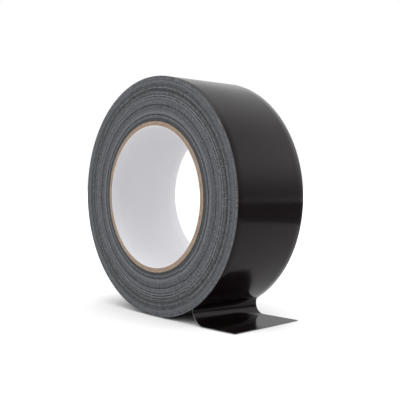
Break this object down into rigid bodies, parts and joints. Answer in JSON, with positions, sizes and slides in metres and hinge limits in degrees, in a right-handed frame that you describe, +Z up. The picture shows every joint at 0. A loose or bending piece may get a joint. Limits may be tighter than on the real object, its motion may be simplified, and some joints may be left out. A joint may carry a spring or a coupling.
{
  "type": "duct tape roll",
  "caption": "Roll of cloth-backed adhesive tape on a paperboard core, standing on its rim, with its free end peeled off and laid flat.",
  "frame": {"origin": "on the floor under the roll's axis, half-way across the tape's width, at the middle of the flat that the roll stands on", "axes": "+Z up, the roll's axis along Y, the free end of the tape towards +X"},
  "size_m": [0.1295, 0.048, 0.1295],
  "materials": {
    "core_liner": "white paper liner, matt",
    "core_board": "tan spiral-wound paperboard",
    "wound_tape": "glossy black film on the rim, grey-blue wound edges",
    "tape_film": "glossy black polyethylene film",
    "tape_cloth": "plain-woven scrim",
    "tape_adhesive": "tacky rubber adhesive"
  },
  "bodies": {
    "roll": {"core_liner": "core_liner", "core_board_ply_1": "core_board", "core_board_ply_2": "core_board", "core_board_ply_3": "core_board", "core_board_ply_4": "core_board", "wound_tape": "wound_tape"},
    "tail_neck": {"tail_neck_film": "tape_film", "tail_neck_cloth": "tape_cloth", "tail_neck_adhesive": "tape_adhesive"},
    "tail_flap": {"tail_flap_film": "tape_film", "tail_flap_cloth": "tape_cloth", "tail_flap_adhesive": "tape_adhesive"},
    "tail_tip": {"tail_tip_film": "tape_film", "tail_tip_cloth": "tape_cloth", "tail_tip_adhesive": "tape_adhesive"}
  },
  "joints": [
    {"name": "tail_peel", "type": "hinge", "parent": "roll", "child": "tail_neck", "pos_m": [0.03307, 0, 0.00901], "axis": [0, -1, 0], "range_deg": [0, 20]},
    {"name": "tail_bend", "type": "hinge", "parent": "tail_neck", "child": "tail_flap", "pos_m": [0.0364, 0, 0.00009], "axis": [0, -1, 0], "range_deg": [0, 25]},
    {"name": "tail_curl", "type": "hinge", "parent": "tail_flap", "child": "tail_tip", "pos_m": [0.0497, 0, 0.00009], "axis": [0, -1, 0], "range_deg": [0, 30]}
  ]
}
